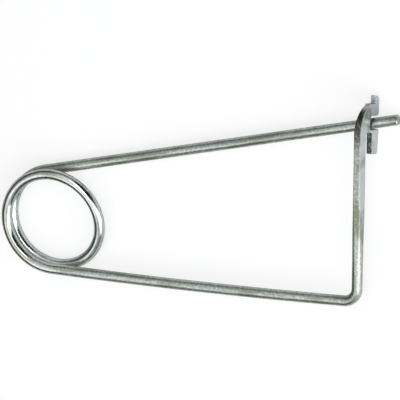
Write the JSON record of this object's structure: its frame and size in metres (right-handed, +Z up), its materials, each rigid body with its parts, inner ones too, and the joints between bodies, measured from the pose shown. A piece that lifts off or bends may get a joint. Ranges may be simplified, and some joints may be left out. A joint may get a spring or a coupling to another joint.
{
  "type": "coil safety pin",
  "caption": "Spring wire safety pin: a straight pin arm, a coil at its closed end, a lower arm bent up into a leg, and a flat notched latch that holds the pin arm near its tip.",
  "frame": {"origin": "on the pin arm's axis, at the middle of the latch plate's thickness", "axes": "+X runs in plan along the pin arm towards its free tip, +Z is up from the table on which the pin rests, and the lower arm and the leg lie to the side of -Y"},
  "size_m": [0.1352, 0.0609, 0.0141],
  "materials": {
    "plated_wire": "bright zinc plated spring wire with fine marks drawn along it"
  },
  "bodies": {
    "root": {"safety_pin": "plated_wire"}
  },
  "joints": []
}
